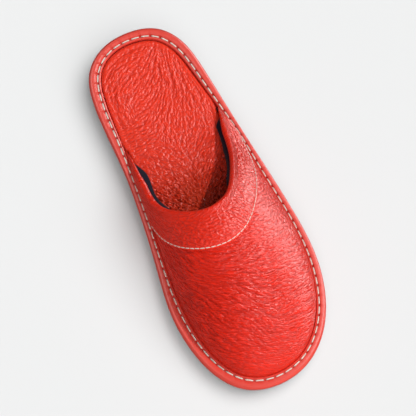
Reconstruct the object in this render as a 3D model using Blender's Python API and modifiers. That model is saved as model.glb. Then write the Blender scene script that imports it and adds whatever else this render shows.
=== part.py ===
"""Closed-toe house slipper, open at the heel: the wearer's left shoe.

The scene is in metres, +Z up. The origin is on the floor under the middle of the slipper. +X is the
outer (lateral) side, -Y the toe and +Y the heel. The tables and sizes below are in millimetres, and
MM turns them into metres when a mesh is made.

From the floor up: a rubber outsole, a leather binding round the edge of the platform, a padded insole
inside it, the upper (one hollow wall from the binding to the throat) and the collar band, which lies
over the throat side of the upper and ends in a rolled edge.
"""

import math

import bmesh
import bpy
import numpy as np

MM = 0.001
NAME = "slipper"

# Outline of the platform over the binding, seen from above. Each row is a station along the foot with
# its place, the edge on both sides, and the width of the binding's top on both sides.
OUTLINE_COLUMNS = ("station", "y", "medial", "lateral", "rim_medial", "rim_lateral")
OUTLINE = [
    ("toe tip", -140.5, -7.1, -7.1, 7.4, 7.4),
    ("toe round", -134.5, -29.4, 17.5, 8.5, 7.1),
    ("toe corner", -121.0, -42.2, 34.1, 8.8, 6.9),
    ("toe root", -98.0, -51.5, 47.7, 8.8, 6.7),
    ("ball", -64.0, -55.3, 55.1, 8.5, 6.5),
    ("waist front", -28.0, -51.2, 53.8, 5.9, 5.7),
    ("waist", 12.0, -46.8, 48.6, 5.0, 5.3),
    ("wings", 42.0, -45.0, 44.3, 5.3, 4.3),
    ("seat front", 68.0, -45.3, 41.0, 7.0, 6.1),
    ("seat", 98.0, -45.0, 37.2, 8.1, 8.2),
    ("heel corner", 122.0, -38.9, 30.7, 8.6, 9.0),
    ("heel round", 134.8, -25.7, 19.8, 8.3, 8.9),
    ("heel tip", 140.5, -2.1, -2.1, 8.3, 8.3),
]

# Side view of the outsole: height of its underside and of the deck on top of it.
SIDE_COLUMNS = ("station", "y", "underside", "deck")
SIDE = [
    ("toe tip", -140.5, 2.6, 6.9),
    ("toe spring", -118.0, 0.7, 5.7),
    ("tread front", -98.0, 0.0, 5.2),
    ("tread back", -30.0, 0.0, 5.6),
    ("arch", 4.0, 2.4, 7.0),
    ("heel front", 38.0, 0.0, 8.2),
    ("heel back", 120.0, 0.0, 9.3),
    ("heel tip", 140.5, 1.2, 9.6),
]

# Finished edge of the collar, from one wing tip over the instep to the other.
THROAT_COLUMNS = ("place", "x", "y", "z")
THROAT = [
    ("medial wing tip", -37.8, 57.5, 18.0),
    ("medial wing", -35.2, 41.5, 23.5),
    ("medial side", -34.8, 21.5, 31.5),
    ("medial rise", -31.8, 3.0, 41.5),
    ("medial shoulder", -23.0, -10.5, 52.5),
    ("instep", -5.6, -16.5, 59.5),
    ("lateral shoulder", 9.2, -10.3, 55.8),
    ("lateral rise", 20.8, 6.5, 44.0),
    ("lateral side", 27.9, 25.5, 31.5),
    ("lateral wing", 31.2, 46.5, 24.0),
    ("lateral wing tip", 35.2, 63.5, 18.0),
]

# Seam between the toe piece and the collar band, seen from above.
SEAM_COLUMNS = ("place", "x", "y")
SEAM = [
    ("medial foot", -42.6, 1.5),
    ("medial side", -41.4, -16.5),
    ("medial shoulder", -34.6, -32.5),
    ("medial front", -22.4, -42.6),
    ("middle", -7.1, -46.0),
    ("lateral front", 8.9, -41.1),
    ("lateral shoulder", 23.4, -26.5),
    ("lateral side", 33.4, -8.5),
    ("lateral waist", 39.0, 10.5),
    ("lateral foot", 40.0, 33.5),
]

GAP = 0.4  # clearance between neighbouring pieces
EDGE_POINTS = 104  # points round the outline

SOLE_INSET = 3.0  # outsole's side wall inside the outline
SOLE_ROUND = 1.4  # rounding of the outsole's lower edge
FLAT_CUTS = 3  # cross cuts on each flat stretch of a plate
GROOVE_WIDTH = 2.8
GROOVE_DEPTH = 1.6
GROOVE_MARGIN = 12.0  # uncut margin between a groove's end and the outline
GROOVE_PITCH = 9.0
# Groups of cross grooves in the tread: name, place of the first and count. Between the groups of the
# ball, and of the heel, a flat pad is left uncut.
GROOVES = [
    ("ball, ahead of its pad", -90.0, 3),
    ("ball, behind its pad", -54.0, 3),
    ("heel, ahead of its pad", 50.0, 3),
    ("heel, behind its pad", 92.0, 3),
]

RIM_HEIGHT = 9.0  # binding's top above the deck
# Section of the binding: part of its width from the outer edge, and height above the deck.
RIM_SECTION = [
    (1.00, GAP),
    (1.00, 8.3),
    (0.86, 8.8),
    (0.55, RIM_HEIGHT),
    (0.25, 8.9),
    (0.06, 8.2),
    (0.00, 6.9),
    (0.03, 5.0),
    (0.12, 3.0),
    (0.26, 1.5),
    (0.46, GAP),
]

WALL = 2.0  # upper: leather and lining
INSOLE_HEIGHT = 6.6  # at its edge, above the deck
INSOLE_PUFF = 1.6  # rise of its padded middle

FAN_X = -3.5  # pivot of the lines that run up the upper
FAN_Y = 11.5
UPPER_ROWS = 9  # rows between the binding and the throat
ROUND_TOE = 0.64  # share of the rounded profile, the rest is a straight slope
ROUND_WING = 0.36
ROUND_POWER = 2.2

BAND_GAP = 0.5  # under the band, which follows the upper's curve more coarsely
BAND_THICK = 1.2  # the band stands proud of the upper by this and the gap under it
BAND_ROWS = 5
BAND_START = 0.15  # the wings' lower edge, as t on a line, is this over the wall's height there
ROLL_RADIUS = 2.4  # rolled edge of the collar
ROLL_SHARE = 0.2  # the roll's largest radius as a share of the wall's height at the wings
BAND_LEAST = 4.0  # the band ends where the wall is lower than this
ROLL_ANGLES = (95, 62, 28, -6, -40, -75, -115)  # round the roll, from the outside over the edge


def column(table, columns, name):
    """One named column of a table as an array."""
    place = columns.index(name)
    return np.array([row[place] for row in table], dtype=float)


def smooth_curve(points, count, closed=False):
    """Evenly spaced points on a cubic spline through the given points (rows of numbers)."""
    points = np.array(points, dtype=float)
    if closed:
        points = np.vstack([points, points[:1]])
    knots = np.r_[0.0, np.cumsum(np.linalg.norm(np.diff(points[:, :2], axis=0), axis=1))]
    gaps = np.diff(knots)
    slopes = np.diff(points, axis=0) / gaps[:, None]
    last = len(gaps)
    system = np.eye(last + 1)
    target = np.zeros_like(points)
    for i in range(0 if closed else 1, last):
        before = gaps[i - 1]
        system[i] = 0.0
        system[i, i] = 2.0 * (before + gaps[i])
        system[i, (i - 1) % last if closed else i - 1] += before
        system[i, i + 1] += gaps[i]
        target[i] = 6.0 * (slopes[i] - slopes[i - 1])
    if closed:
        system[last, 0] = -1.0
    bends = np.linalg.solve(system, target)

    place = np.linspace(0.0, knots[-1], 40 * count)
    i = np.clip(np.searchsorted(knots, place, side="right") - 1, 0, last - 1)
    right = ((place - knots[i]) / gaps[i])[:, None]
    left = 1.0 - right
    size = (gaps[i] ** 2 / 6.0)[:, None]
    dense = left * points[i] + right * points[i + 1]
    dense += size * ((left ** 3 - left) * bends[i] + (right ** 3 - right) * bends[i + 1])

    length = np.r_[0.0, np.cumsum(np.linalg.norm(np.diff(dense, axis=0), axis=1))]
    wanted = np.linspace(0.0, length[-1], count, endpoint=not closed)
    return np.stack([np.interp(wanted, length, axis) for axis in dense.T], axis=1)


def level_curve(x, y, at):
    """Monotone cubic through (x, y): flat stretches stay exactly flat."""
    gaps = np.diff(x)
    slopes = np.diff(y) / gaps
    tangents = np.r_[slopes[0], np.zeros(len(x) - 2), slopes[-1]]
    for i in range(1, len(x) - 1):
        if slopes[i - 1] * slopes[i] > 0.0:
            weight = (2 * gaps[i] + gaps[i - 1], gaps[i] + 2 * gaps[i - 1])
            tangents[i] = sum(weight) / (weight[0] / slopes[i - 1] + weight[1] / slopes[i])
    at = np.clip(at, x[0], x[-1])
    i = np.clip(np.searchsorted(x, at, side="right") - 1, 0, len(gaps) - 1)
    u = (at - x[i]) / gaps[i]
    rise = y[i] + (y[i + 1] - y[i]) * u * u * (3.0 - 2.0 * u)
    return rise + gaps[i] * u * (1.0 - u) * (tangents[i] * (1.0 - u) - tangents[i + 1] * u)


def underside(y):
    """Height of the outsole's underside at a place along the foot."""
    return level_curve(column(SIDE, SIDE_COLUMNS, "y"), column(SIDE, SIDE_COLUMNS, "underside"), y)


def deck(y):
    """Height of the top of the outsole, which carries everything else."""
    return level_curve(column(SIDE, SIDE_COLUMNS, "y"), column(SIDE, SIDE_COLUMNS, "deck"), y)


def outline():
    """Points round the platform from the heel over the medial side: place, inward normal, rim width."""
    stations = {key: column(OUTLINE, OUTLINE_COLUMNS, key) for key in OUTLINE_COLUMNS[1:]}
    medial = np.stack([stations["medial"], stations["y"], stations["rim_medial"]], axis=1)
    lateral = np.stack([stations["lateral"], stations["y"], stations["rim_lateral"]], axis=1)
    loop = smooth_curve(np.vstack([medial[::-1], lateral[1:-1]]), EDGE_POINTS, closed=True)
    along = np.roll(loop[:, :2], -1, axis=0) - np.roll(loop[:, :2], 1, axis=0)
    along /= np.linalg.norm(along, axis=1)[:, None]
    inward = np.stack([-along[:, 1], along[:, 0]], axis=1)
    return loop[:, :2], inward, loop[:, 2]


EDGE, INWARD, RIM = outline()


def inset(distance):
    """The outline moved inward; the distance is one number or one for each point."""
    return EDGE + INWARD * np.broadcast_to(distance, len(EDGE))[:, None]


def fan_angle(x, y):
    """Direction of the line up the upper through a point, in degrees, 0 toward the toe.

    Ahead of the pivot the lines spread from it. Behind it they run straight across, one degree for
    each millimetre further back.
    """
    across = x - FAN_X
    behind = y - FAN_Y
    return np.where(
        behind > 0.0,
        np.sign(across) * (90.0 + behind),
        np.degrees(np.arctan2(across, np.minimum(behind, 0.0) * -1.0)),
    )


def upper_lines():
    """Foot and collar point of each line up the upper, medial wing tip first, and its fan angle."""
    base = inset(RIM + GAP)
    throat = smooth_curve([row[1:] for row in THROAT], 300)
    angles = fan_angle(throat[:, 0], throat[:, 1])
    base_angles = fan_angle(base[:, 0], base[:, 1])
    covered = np.flatnonzero((base_angles > angles[0]) & (base_angles < angles[-1]))
    foot = base[covered]
    angle = base_angles[covered]
    collar = np.stack([np.interp(angle, angles, axis) for axis in throat.T], axis=1)
    return covered, foot, collar, angle


COVERED, FOOT, COLLAR, ANGLE = upper_lines()


def upper_point(t, dx=0):
    """Outer surface of the upper: t is 0 at the binding and 1 at the collar, one for each line.

    dx moves every point to the line dx places further round.
    """
    t = np.asarray(t, dtype=float)
    last = len(FOOT) - 1
    line = np.clip(np.arange(last + 1) + dx, 0, last)
    foot, collar = FOOT[line], COLLAR[line]
    toeward = np.cos(np.radians(np.clip(ANGLE[line], -90.0, 90.0))) ** 2
    share = ROUND_WING + (ROUND_TOE - ROUND_WING) * toeward
    round_rise = (1.0 - (1.0 - np.clip(t, 0.0, 1.0)) ** ROUND_POWER) ** (1.0 / ROUND_POWER)
    rise = share * round_rise + (1.0 - share) * t
    low = deck(foot[:, 1]) + RIM_HEIGHT
    flat = foot + (collar[:, :2] - foot) * t[:, None]
    return np.column_stack([flat, low + (collar[:, 2] - low) * rise])


def upper_frame(t):
    """Point, unit direction up the line and outward normal of the upper at t on each line."""
    step = 0.01
    t = np.asarray(t, dtype=float)
    up = upper_point(np.minimum(t + step, 1.0)) - upper_point(np.minimum(t + step, 1.0) - step)
    along = upper_point(t, 1) - upper_point(t, -1)
    normal = np.cross(along, up)
    up /= np.linalg.norm(up, axis=1)[:, None]
    normal /= np.linalg.norm(normal, axis=1)[:, None]
    return upper_point(t), up, normal


def line_lengths():
    """Height of the wall along each line, from the binding to the collar."""
    steps = [upper_point(np.full(len(FOOT), t)) for t in np.linspace(0.0, 1.0, 25)]
    return sum(np.linalg.norm(b - a, axis=1) for a, b in zip(steps, steps[1:]))


LENGTHS = line_lengths()
ROLL_RADII = np.minimum(ROLL_RADIUS, ROLL_SHARE * LENGTHS)
WALL_ENDS = 1.0 - (2.0 * ROLL_RADII + GAP) / LENGTHS  # t where the wall's own edge lies, under the roll


def seam_shares():
    """Where the seam crosses each line, as t; 0 on the wings, where the band reaches the binding."""
    seam = smooth_curve([row[1:] for row in SEAM], 200)
    angles = fan_angle(seam[:, 0], seam[:, 1])
    crossing = np.stack([np.interp(ANGLE, angles, axis) for axis in seam.T], axis=1)
    reach = np.linalg.norm(COLLAR[:, :2] - FOOT, axis=1)
    share = np.linalg.norm(crossing - FOOT, axis=1) / reach
    return np.where((ANGLE > angles[0]) & (ANGLE < angles[-1]), share, 0.0)


def new_object(name, mesh, collection, material=None):
    """Link a mesh to a collection as a named object."""
    thing = bpy.data.objects.new(name, mesh)
    collection.objects.link(thing)
    if material is not None:
        mesh.materials.append(material)
    return thing


def finish_mesh(name, body, smooth_angle=40.0):
    """Turn a bmesh in millimetres into a mesh in metres, faces out, smooth but for real edges."""
    bmesh.ops.recalc_face_normals(body, faces=body.faces)
    bmesh.ops.scale(body, vec=(MM, MM, MM), verts=body.verts)
    mesh = bpy.data.meshes.new(name)
    body.to_mesh(mesh)
    body.free()
    mesh.shade_smooth()
    mesh.set_sharp_from_angle(angle=math.radians(smooth_angle))
    return mesh


def loft(rings, closed_ring=True, closed_loop=False, capped=True):
    """A bmesh through rows of points, each row an array of the same length."""
    body = bmesh.new()
    rows = [[body.verts.new(point) for point in ring] for ring in rings]
    pairs = list(zip(rows, rows[1:]))
    if closed_loop:
        pairs.append((rows[-1], rows[0]))
    for low, high in pairs:
        count = len(low) if closed_ring else len(low) - 1
        for i in range(count):
            j = (i + 1) % len(low)
            body.faces.new((low[i], low[j], high[j], high[i]))
    if capped and not closed_loop:
        body.faces.new(rows[0])
        body.faces.new(rows[-1])
    return body


def slab(rings, bottom, top, cuts):
    """A plate whose rings are (inset, level); levels run from the bottom curve to the top curve.

    It is cut across at every place in cuts, so that its broad faces follow both curves.
    """
    body = loft([np.column_stack([inset(step), np.full(len(EDGE), level)]) for step, level in rings])
    for y in cuts:
        geometry = body.verts[:] + body.edges[:] + body.faces[:]
        bmesh.ops.bisect_plane(body, geom=geometry, dist=1e-4, plane_co=(0, y, 0), plane_no=(0, 1, 0))
    for vert in body.verts:
        low, high = bottom(vert.co.y), top(vert.co.y)
        vert.co.z = low + (high - low) * vert.co.z
    return body


def cross_cuts(step):
    """Places along the foot where plates are cut: the stations of the side view and steps between.

    A stretch that lies flat on the floor takes only FLAT_CUTS of them.
    """
    stations = column(SIDE, SIDE_COLUMNS, "y")
    flat = np.diff(column(SIDE, SIDE_COLUMNS, "underside")) == 0.0
    cuts = []
    for start, end, level in zip(stations, stations[1:], flat):
        parts = FLAT_CUTS if level else round((end - start) / step)
        cuts += [start + (end - start) * i / parts for i in range(parts)]
    return cuts[1:]


def make_outsole(collection, cutters, material):
    """Rubber sole with toe spring, arch, heel seat and cross grooves between its lugs."""
    rings = [(SOLE_INSET + SOLE_ROUND, 0.0), (SOLE_INSET + 0.3, 0.28), (SOLE_INSET, 1.0)]
    mesh = finish_mesh("outsole", slab(rings, underside, deck, cross_cuts(9.0)))
    outsole = new_object("outsole", mesh, collection, material)

    grooves = bmesh.new()
    order = np.argsort(EDGE[:, 1])
    places = [first + GROOVE_PITCH * i for _, first, count in GROOVES for i in range(count)]
    for y in places:
        sides = [order[EDGE[order, 0] < 0], order[EDGE[order, 0] > 0]]
        low, high = [np.interp(y, EDGE[side, 1], EDGE[side, 0]) for side in sides]
        low, high = low + GROOVE_MARGIN, high - GROOVE_MARGIN
        box = bmesh.ops.create_cube(grooves, size=1.0)["verts"]
        bmesh.ops.scale(grooves, vec=(high - low, GROOVE_WIDTH, 2 * GROOVE_DEPTH), verts=box)
        bmesh.ops.translate(grooves, vec=((low + high) / 2, y, 0.0), verts=box)
    cutter = new_object("outsole_grooves", finish_mesh("outsole_grooves", grooves), cutters)
    cutter.hide_render = True
    cutter.display_type = "WIRE"

    cut = outsole.modifiers.new("Grooves", "BOOLEAN")
    cut.operation = "DIFFERENCE"
    cut.solver = "EXACT"
    cut.object = cutter
    return outsole


def make_binding(collection, material):
    """Leather strip round the platform's edge: one closed ring."""
    rings = []
    for share, height in RIM_SECTION:
        flat = inset(RIM * share)
        rings.append(np.column_stack([flat, deck(EDGE[:, 1]) + height]))
    mesh = finish_mesh("edge_binding", loft(rings, closed_loop=True))
    return new_object("edge_binding", mesh, collection, material)


def make_insole(collection, material):
    """Padded footbed inside the binding, narrower where the upper stands beside it."""
    edge = RIM + GAP
    edge[COVERED] += WALL + GAP
    rings = [(edge, 0.0), (edge, 0.72), (edge + 1.2, 0.8), (edge + 5.0, 0.92), (edge + 12.0, 1.0)]
    body = slab(
        rings,
        lambda y: deck(y) + GAP,
        lambda y: deck(y) + INSOLE_HEIGHT + INSOLE_PUFF,
        cross_cuts(12.0),
    )
    return new_object("insole", finish_mesh("insole", body), collection, material)


def make_upper(collection, material):
    """The hollow upper: an open sheet from the deck up to the collar, thickened inward."""
    shares = (np.arange(UPPER_ROWS + 1) / UPPER_ROWS) ** 1.6
    skirt = np.column_stack([FOOT, deck(FOOT[:, 1]) + GAP])
    rings = [skirt] + [upper_point(WALL_ENDS * share) for share in shares]
    body = loft(rings, closed_ring=False, capped=False)
    bmesh.ops.scale(body, vec=(MM, MM, MM), verts=body.verts)
    mesh = bpy.data.meshes.new("upper")
    body.to_mesh(mesh)
    body.free()
    mesh.shade_smooth()
    upper = new_object("upper", mesh, collection, material)
    shell = upper.modifiers.new("Wall", "SOLIDIFY")
    shell.thickness = WALL * MM
    shell.offset = -1.0
    shell.use_even_offset = True
    return upper


def make_band(collection, material):
    """Collar band over the upper, from the seam to a rolled edge that covers the wall's own edge."""
    low = deck(FOOT[:, 1]) + RIM_HEIGHT
    starts = np.maximum(seam_shares(), BAND_START / (COLLAR[:, 2] - low))
    rows = np.linspace(0.0, 1.0, BAND_ROWS)
    outer, inner = [], []
    for share in rows:
        point, _, normal = upper_frame(starts + (WALL_ENDS - starts) * share)
        outer.append(point + normal * (BAND_GAP + BAND_THICK))
        inner.append(point + normal * BAND_GAP)

    point, up, normal = upper_frame(WALL_ENDS)
    radius = ROLL_RADII[:, None]
    middle = point + up * (GAP + radius) + normal * (BAND_GAP + BAND_THICK - radius)
    roll = []
    for angle in np.radians(ROLL_ANGLES):
        roll.append(middle + radius * (up * math.cos(angle) + normal * math.sin(angle)))
    sections = np.array(outer + roll + [point + up * GAP - normal * GAP] + inner[::-1])
    kept = np.flatnonzero(LENGTHS > BAND_LEAST)
    body = loft([sections[:, line] for line in kept])
    return new_object("collar_band", finish_mesh("collar_band", body), collection, material)


def make_material(name, colour, roughness):
    """A plain surface with one colour."""
    material = bpy.data.materials.new(name)
    material.use_nodes = True
    surface = material.node_tree.nodes["Principled BSDF"]
    surface.inputs["Base Color"].default_value = (*colour, 1.0)
    surface.inputs["Roughness"].default_value = roughness
    surface.inputs["Metallic"].default_value = 0.0
    return material


def main():
    for thing in list(bpy.data.objects):
        bpy.data.objects.remove(thing, do_unlink=True)
    parts = bpy.data.collections.new(NAME)
    cutters = bpy.data.collections.new("cutters")
    for collection in (parts, cutters):
        bpy.context.scene.collection.children.link(collection)

    rubber = make_material("outsole rubber", (0.10, 0.015, 0.012), 0.7)
    strip = make_material("binding leather", (0.72, 0.06, 0.04), 0.4)
    footbed = make_material("footbed leather", (0.66, 0.045, 0.03), 0.5)
    leather = make_material("upper leather", (0.62, 0.03, 0.02), 0.42)
    band = make_material("collar leather", (0.66, 0.035, 0.022), 0.4)

    make_outsole(parts, cutters, rubber)
    make_binding(parts, strip)
    make_insole(parts, footbed)
    make_upper(parts, leather)
    make_band(parts, band)


main()
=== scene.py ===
"""Looks of the closed-toe house slipper, open at the heel: the wearer's left shoe.

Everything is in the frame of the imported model: metres, +Z up, the origin on the floor under the middle
of the slipper, +X the outer (lateral) side, -Y the toe and +Y the heel. The tables and sizes below are
in millimetres, and MM turns them into metres when a mesh is made.
"""

import math
from functools import partialmethod

import bmesh
import bpy
import numpy as np
from mathutils import Matrix, Vector


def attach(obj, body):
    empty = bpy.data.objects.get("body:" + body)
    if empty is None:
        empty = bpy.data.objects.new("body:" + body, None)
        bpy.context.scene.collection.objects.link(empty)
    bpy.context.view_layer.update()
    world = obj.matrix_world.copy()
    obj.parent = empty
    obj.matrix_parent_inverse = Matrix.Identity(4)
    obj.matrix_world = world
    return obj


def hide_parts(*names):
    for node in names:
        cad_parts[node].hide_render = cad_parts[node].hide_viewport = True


MM = 0.001
SHARP_ANGLE = math.radians(60.0)  # edges of a piece that are sharper stay crisp

# ---------------- the form, as the maker's last gives it

# Outline of the platform over the binding, seen from above: y, the medial and the lateral edge, and the
# width of the binding on either side.
OUTLINE = [
    ("toe tip", -140.5, -7.1, -7.1, 7.4, 7.4),
    ("toe round", -134.5, -29.4, 17.5, 8.5, 7.1),
    ("toe corner", -121.0, -42.2, 34.1, 8.8, 6.9),
    ("toe root", -98.0, -51.5, 47.7, 8.8, 6.7),
    ("ball", -64.0, -55.3, 55.1, 8.5, 6.5),
    ("waist front", -28.0, -51.2, 53.8, 5.9, 5.7),
    ("waist", 12.0, -46.8, 48.6, 5.0, 5.3),
    ("wings", 42.0, -45.0, 44.3, 5.3, 4.3),
    ("seat front", 68.0, -45.3, 41.0, 7.0, 6.1),
    ("seat", 98.0, -45.0, 37.2, 8.1, 8.2),
    ("heel corner", 122.0, -38.9, 30.7, 8.6, 9.0),
    ("heel round", 134.8, -25.7, 19.8, 8.3, 8.9),
    ("heel tip", 140.5, -2.1, -2.1, 8.3, 8.3),
]

# Side view of the outsole: y and the height of the deck on top of it.
DECK = [
    ("toe tip", -140.5, 6.9),
    ("toe spring", -118.0, 5.7),
    ("tread front", -98.0, 5.2),
    ("tread back", -30.0, 5.6),
    ("arch", 4.0, 7.0),
    ("heel front", 38.0, 8.2),
    ("heel back", 120.0, 9.3),
    ("heel tip", 140.5, 9.6),
]

# Finished edge of the collar, from one wing tip over the instep to the other: x, y and z.
THROAT = [
    ("medial wing tip", -37.8, 57.5, 18.0),
    ("medial wing", -37.0, 41.0, 23.0),
    ("medial side", -38.4, 21.0, 31.0),
    ("medial rise", -36.7, 2.0, 40.5),
    ("medial shoulder", -26.0, -11.5, 51.5),
    ("instep", -5.6, -17.6, 59.5),
    ("lateral shoulder", 9.2, -11.2, 55.8),
    ("lateral rise", 20.8, 6.5, 44.0),
    ("lateral side", 27.9, 25.5, 31.5),
    ("lateral wing", 31.2, 46.5, 24.0),
    ("lateral wing tip", 35.2, 63.5, 18.0),
]

# Seam between the toe piece and the collar band, seen from above: x and y.
SEAM = [
    ("medial foot", -42.6, 1.5),
    ("medial side", -41.4, -16.5),
    ("medial shoulder", -34.6, -32.5),
    ("medial front", -22.4, -42.6),
    ("middle", -7.1, -46.0),
    ("lateral front", 8.9, -41.1),
    ("lateral shoulder", 23.4, -26.5),
    ("lateral side", 33.4, -8.5),
    ("lateral waist", 39.0, 10.5),
    ("lateral foot", 40.0, 33.5),
]

GAP = 0.4  # clearance between neighbouring pieces
EDGE_POINTS = 1200  # points round the outline
THROAT_POINTS = 600
SEAM_POINTS = 400

# Section of the binding: part of its width from the outer edge inward, and height above the deck.
RIM_HEIGHT = 9.0
BINDING = [
    ("inner wall", 1.000, 1.0),
    ("inner wall, high", 1.000, 6.4),
    ("ridge, inner side", 0.998, 8.0),
    ("ridge, inner shoulder", 0.970, 8.6),
    ("ridge", 0.905, 9.0),
    ("ridge, outer shoulder", 0.845, 8.55),
    ("stitch channel, inner slope", 0.800, 7.9),
    ("stitch channel", 0.740, 7.45),
    ("stitch channel, outer slope", 0.680, 7.95),
    ("roll, inner shoulder", 0.625, 8.6),
    ("roll, top", 0.480, 9.05),
    ("roll, upper", 0.300, 9.0),
    ("roll, outer shoulder", 0.120, 8.4),
    ("roll, side", 0.030, 7.5),
    ("edge", 0.000, 6.6),
    ("roll, under side", 0.020, 5.0),
    ("roll, under", 0.110, 3.0),
    ("tuck", 0.260, 1.5),
    ("foot", 0.480, 0.5),
    ("foot, inner", 0.900, 0.45),
]
BINDING_ROUND = 44  # points round its section
BINDING_TOP = (6.0, 7.5)  # the stitches pull on it from this height up
CHANNEL = 0.740  # place of the stitches across the binding
CHANNEL_WIDTH = 0.8
CHANNEL_DEPTH = 0.12
HOLE_DEPTH = 0.55
RIDGE_PLACE = 1.5  # a low swell inside the channel, between the holes
RIDGE_SWELL = 0.08

# Stitches; reach is how far on either side of its middle the line is taken for a stitch's direction.
EDGE_STITCH = {"pitch": 7.25, "length": 5.8, "radius": 0.50, "reach": 1.452}
EDGE_STITCH_HEIGHT = 8.0
SEAM_STITCH = {"pitch": 3.9, "length": 3.5, "radius": 0.33, "reach": 0.8}
SEAM_STITCH_SUNK = 0.1
STITCH_SIDES = 8  # faces round a stitch and along it
STITCH_FLAT = 0.8  # height of its section for a width of 1
STITCH_DIP = 0.9  # its ends lie this many radii deep

# The upper: lines spread from a pivot and run from the binding up to the collar.
FAN_PIVOT = (-3.5, 11.5)
ROUND_TOE = 0.64
ROUND_WING = 0.36
ROUND_POWER = 2.2
LINES = 560
UPPER_ROWS = 150
UPPER_POWER = 1.2  # its rows lie closer together by the binding
UPPER_BACK = 12  # its back has a row for every so many of its face
UPPER_LAP = 4.0  # it reaches this far under the band
UPPER_FOOT = 1.0  # height of its lower edge over the deck
SEAM_DIP = (0.2, 1.6, 0.35)  # place, width and depth of the trough along the seam
LEATHER = 1.1  # thickness of the upper leather
WALL = 2.0  # with its lining

BAND_ROWS = 56
BAND_GAP = 0.5
BAND_THICK = 1.2
BAND_PUFF = 0.9
BAND_FOLD = 1.3  # rounding of the band's folded edge
BAND_STITCH = 1.7  # the stitches lie this far from the fold
BAND_GROOVE = (0.8, 0.45)  # width and depth of the groove that they pull
ROLL_RADIUS = 2.5
ROLL_SWELL = 0.7  # how far the roll stands out on the medial side
ROLL_SHARE = 0.2
ROLL_SIDE = (30.0, 75.0)  # that side, by the angle of its lines
ROLL_TURN = (80.0, -150.0)  # the roll's section, in degrees from straight up the band
ROLL_POINTS = 18
BAND_BACK = ((1.0, -0.8), (0.97, 0.22), (0.7, 0.22), (0.35, 0.22), (0.0, 0.22))  # share, height
FULL_LENGTH = (1.0, 9.0)  # the wings are flat up to the first length of a line and full from the second

LINING_ROWS = 36
LINING_THICK = 0.6
LINING_GAP = 0.25  # from the leather, where it doesn't hang loose
LINING_RIPPLE = (3.7, 0.25)  # length and height of its ripples
LINING_FOOT = 1.2  # height of its lower edge over the deck
LINING_BULGE = {"medial": 6.6, "lateral": 3.8}  # how far it stands in from the collar's edge
LINING_SIDE = (34.0, 72.0)  # it hangs loose at the sides, by the angle of their lines
LINING_LOOSE = (0.2, 4.0)  # it swings inward between these depths under its seam

INSOLE_HEIGHT = 6.6
INSOLE_PUFF = 1.6
INSOLE_CELLS = (150, 460)
INSOLE_BLEND = 12  # points of its edge on either side of a step in it
INSOLE_MIDDLE = (-2.0, 0.0)
INSOLE_SPAN = (45.0, 132.0)
INSOLE_CHANNEL = (4.6, 1.1, 0.28)  # place in from the edge, width and depth of its pressed line
INSOLE_TURN = (1.2, 1.1)  # width and depth of its rounded edge

# Soft hollows of the footbed, and a patch of painted shade under the instep, seen from above: middle,
# half width and half length.
SEAT = (-3.0, 92.0, 24.0, 34.0)
SEAT_DEPTH = 1.1
BALL = (-2.0, -62.0, 34.0, 34.0)
BALL_DEPTH = 0.8
INSTEP_SHADE = (-7.0, 4.0, 24.0, 23.0)

# Creases of the leather: sizes of the random bends of their flow, and how far they turn it, in radians.
CELL_SWAY = ((9.0, 0.15),)
LINE_SWAY = ((7.0, 0.15), (2.2, 0.12))
LINE_RUN = 3.1  # how far the long fine lines run, for a run of 1
LINE_STRIDE = 2.0  # in steps of the grid they are drawn on
LINE_STRIDES = 24
FLOW_REACH = 80.0  # a row of the flow is felt evenly over this area
FLOW_FALL = 1.6
RUN_LIMITS = (1.1, 4.5)

# Flow of the creases: x, y, their direction in degrees from +X, how far they run, and how deep they are.
INSOLE_FLOW = [
    ("heel tip", -6, 124, 10, 2.5, 0.24),
    ("heel medial", -26, 108, 40, 4.0, 0.30),
    ("heel medial, lower", -28, 86, 105, 4.0, 0.28),
    ("heel middle", -8, 104, 20, 3.0, 0.24),
    ("heel middle, lower", -12, 84, 15, 3.0, 0.22),
    ("heel lateral", 12, 108, 80, 6.0, 0.32),
    ("heel lateral, lower", 14, 84, 62, 7.0, 0.34),
    ("heel lateral edge", 26, 92, 100, 5.0, 0.26),
    ("seat lateral", 22, 62, 80, 4.0, 0.26),
    ("seat middle", 0, 66, 75, 3.0, 0.26),
    ("seat medial", -26, 62, 0, 3.0, 0.26),
    ("waist medial", -28, 36, -35, 4.0, 0.30),
    ("waist middle", -8, 38, -60, 4.0, 0.32),
    ("waist lateral", 14, 36, 40, 3.5, 0.36),
    ("throat medial", -28, 10, -35, 1.6, 0.84),
    ("throat middle", -6, 8, -70, 1.2, 0.92),
    ("throat lateral", 16, 12, 40, 1.4, 0.84),
    ("under the instep", -8, -16, 10, 1.4, 0.84),
    ("toe room", -4, -60, 0, 4.0, 0.30),
    ("toe", -4, -110, 0, 4.0, 0.25),
]
UPPER_FLOW = [
    ("ahead of the seam", -8, -56, -10, 6.0, 0.28),
    ("ahead of the seam, medial", -32, -50, -60, 6.0, 0.26),
    ("ahead of the seam, lateral", 20, -48, 10, 3.0, 0.26),
    ("medial side", -52, -40, -74, 7.0, 0.34),
    ("medial side, low", -66, -30, -84, 7.0, 0.26),
    ("medial toe", -44, -86, -62, 7.0, 0.44),
    ("middle", -12, -80, -50, 8.0, 0.38),
    ("lateral", 30, -72, -6, 3.5, 0.26),
    ("lateral side", 48, -40, 30, 2.5, 0.26),
    ("lateral side, low", 62, -30, 40, 2.5, 0.24),
    ("lateral toe", 26, -104, 8, 3.5, 0.26),
    ("toe", -6, -112, -52, 7.0, 0.32),
    ("toe edge", -8, -140, -25, 5.0, 0.16),
]
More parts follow.
